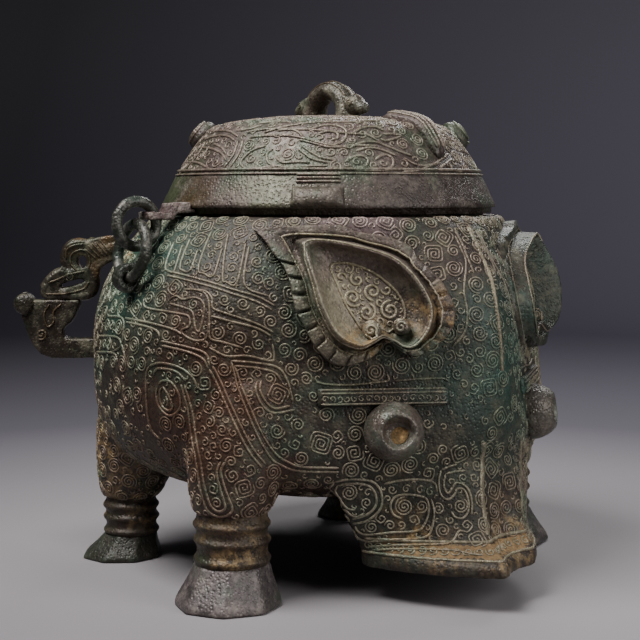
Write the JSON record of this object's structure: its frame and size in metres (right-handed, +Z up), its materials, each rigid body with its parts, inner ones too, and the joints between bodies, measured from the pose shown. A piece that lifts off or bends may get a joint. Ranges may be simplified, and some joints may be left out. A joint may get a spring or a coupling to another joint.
{
  "type": "lidded bronze ritual vessel",
  "caption": "Squat cast bronze wine vessel with a broad animal head, leaf-shaped ears, hooved legs, a side handle and a domed lid held by a short ring chain.",
  "frame": {"origin": "on the ground under the middle of the bowl's mouth", "axes": "+Z up along the bowl's axis, +X towards the animal's muzzle, -Y its right side"},
  "size_m": [0.304, 0.2889, 0.2835],
  "materials": {
    "dark_patina": "aged dark olive patina",
    "purple_patina": "aged purple-brown patina",
    "green_patina": "aged grey-green patina"
  },
  "bodies": {
    "vessel": {"bowl": "dark_patina", "muzzle": "dark_patina", "ear_right": "purple_patina", "ear_left": "purple_patina", "eye_right": "green_patina", "eye_left": "green_patina", "brow_right": "dark_patina", "brow_left": "dark_patina", "haunch_front_right": "dark_patina", "haunch_front_left": "dark_patina", "haunch_hind_right": "dark_patina", "haunch_hind_left": "dark_patina", "ankle_front_right": "dark_patina", "ankle_front_left": "dark_patina", "ankle_hind_right": "dark_patina", "ankle_hind_left": "dark_patina", "hoof_front_right": "purple_patina", "hoof_front_left": "purple_patina", "hoof_hind_right": "purple_patina", "hoof_hind_left": "purple_patina", "handle_loop": "green_patina", "handle_head": "green_patina", "handle_curl": "green_patina", "chain_lug": "dark_patina"},
    "lid": {"lid": "purple_patina", "lid_lug": "green_patina", "lid_tab": "dark_patina", "lid_snout": "purple_patina", "lid_knot_front": "dark_patina", "lid_knot_rear": "dark_patina", "knob_arch": "green_patina", "knob_head_front": "green_patina", "knob_head_rear": "green_patina"},
    "ring_lower": {"ring_lower": "dark_patina"},
    "ring_upper": {"ring_upper": "dark_patina"}
  },
  "joints": [
    {"name": "lid_tilt", "type": "hinge", "parent": "vessel", "child": "lid", "pos_m": [-0.01361, -0.12952, 0.20041], "axis": [0.9945, -0.1045, 0], "range_deg": [0, 94]},
    {"name": "ring_upper_swivel", "type": "hinge", "parent": "lid", "child": "ring_upper", "pos_m": [-0.01234, -0.11739, 0.20041], "axis": [0, 0, 1], "range_deg": [-8, 8]},
    {"name": "ring_lower_swing", "type": "hinge", "parent": "vessel", "child": "ring_lower", "pos_m": [-0.01423, -0.13544, 0.171], "axis": [0.9945, -0.1045, 0], "range_deg": [0, 6]}
  ]
}
